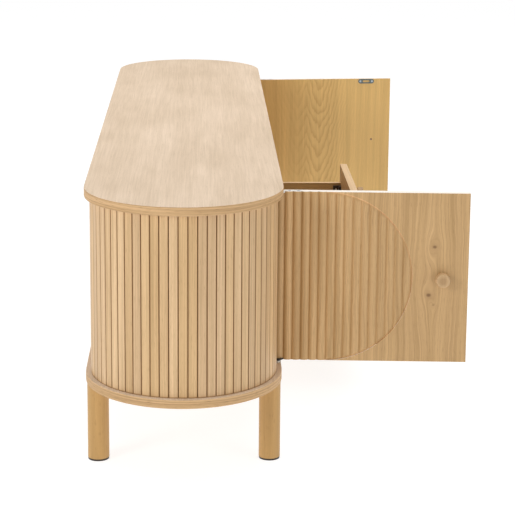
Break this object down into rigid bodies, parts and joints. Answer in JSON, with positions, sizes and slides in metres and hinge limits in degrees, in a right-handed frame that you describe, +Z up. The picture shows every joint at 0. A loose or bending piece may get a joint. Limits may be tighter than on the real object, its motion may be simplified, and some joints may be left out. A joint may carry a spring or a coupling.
{
  "type": "media cabinet",
  "caption": "Low media cabinet with half-round slatted ends, reeded doors, an open niche over a wide drawer, and round dowel legs.",
  "frame": {"origin": "on the floor, half way along, in the plane of the closed doors' outer faces", "axes": "+X along the cabinet to the right as seen from the front, -Y towards the front, +Z up"},
  "size_m": [1.9996, 0.7827, 0.575],
  "materials": {
    "oak_board": "satin veneer",
    "oak_slat": "satin",
    "oak_door": "satin",
    "oak_inside": "satin",
    "oak_leg": "satin",
    "beech": "plain",
    "black_steel": "satin black",
    "zinc_steel": "zinc plated",
    "black_plastic": "fine texture",
    "nylon": "natural",
    "ferrite": "matt"
  },
  "bodies": {
    "case": {"back_panel": "oak_inside", "back_screws": "zinc_steel", "bottom_panel": "oak_board", "case_hinge_leaves": "black_steel", "case_runners": "zinc_steel", "case_screws": "zinc_steel", "catch_housings": "nylon", "catch_magnets": "ferrite", "foot_pads": "black_plastic", "hinge_washers": "nylon", "left_compartment_shelf": "oak_inside", "left_end_backing": "oak_inside", "left_end_formers": "oak_inside", "left_end_slats": "oak_slat", "left_inner_partition": "oak_inside", "left_outer_partition": "oak_inside", "leg_back_left": "oak_leg", "leg_back_right": "oak_leg", "leg_bolts": "zinc_steel", "leg_front_left": "oak_leg", "leg_front_right": "oak_leg", "leg_inserts": "zinc_steel", "niche_shelf": "oak_inside", "panel_dowels": "beech", "right_compartment_shelf": "oak_inside", "right_end_backing": "oak_inside", "right_end_formers": "oak_inside", "right_end_slats": "oak_slat", "right_inner_partition": "oak_inside", "right_outer_partition": "oak_inside", "shelf_dowels": "beech", "shelf_pins": "zinc_steel", "top_panel": "oak_board"},
    "left_door_body": {"left_door": "oak_door", "left_door_hinge_leaves": "zinc_steel", "left_door_knob": "oak_leg", "left_door_knob_screw": "zinc_steel", "left_door_screws": "zinc_steel", "left_strike_plate": "zinc_steel"},
    "right_door_body": {"right_door": "oak_door", "right_door_hinge_leaves": "zinc_steel", "right_door_knob": "oak_leg", "right_door_knob_screw": "zinc_steel", "right_door_screws": "zinc_steel", "right_strike_plate": "zinc_steel"},
    "drawer": {"drawer_back": "oak_inside", "drawer_bottom": "oak_inside", "drawer_corner_blocks": "black_plastic", "drawer_dowels": "beech", "drawer_front": "oak_door", "drawer_knob_screws": "zinc_steel", "drawer_knobs": "oak_leg", "drawer_left_side": "oak_inside", "drawer_right_side": "oak_inside", "drawer_runners": "zinc_steel", "drawer_screws": "zinc_steel"},
    "left_slide": {"left_runner_slide": "zinc_steel"},
    "right_slide": {"right_runner_slide": "zinc_steel"}
  },
  "joints": [
    {"name": "left_door_hinge", "type": "hinge", "parent": "case", "child": "left_door_body", "pos_m": [-0.7625, -0.005, 0.3745], "axis": [0, 0, 1], "range_deg": [-17, 93]},
    {"name": "right_door_hinge", "type": "hinge", "parent": "case", "child": "right_door_body", "pos_m": [0.7625, -0.005, 0.3745], "axis": [0, 0, -1], "range_deg": [-15, 95]},
    {"name": "drawer_slide", "type": "slide", "parent": "case", "child": "drawer", "axis": [0, 1, 0], "range_m": [-0.05, 0.237]},
    {"name": "left_runner_slide_joint", "type": "slide", "parent": "case", "child": "left_slide", "axis": [0, 1, 0], "range_m": [-0.025, 0.1185]},
    {"name": "right_runner_slide_joint", "type": "slide", "parent": "case", "child": "right_slide", "axis": [0, 1, 0], "range_m": [-0.025, 0.1185]}
  ],
  "couplings": [
    {"joint": "left_runner_slide_joint", "follows": "drawer_slide", "ratio": 0.5},
    {"joint": "right_runner_slide_joint", "follows": "drawer_slide", "ratio": 0.5}
  ]
}
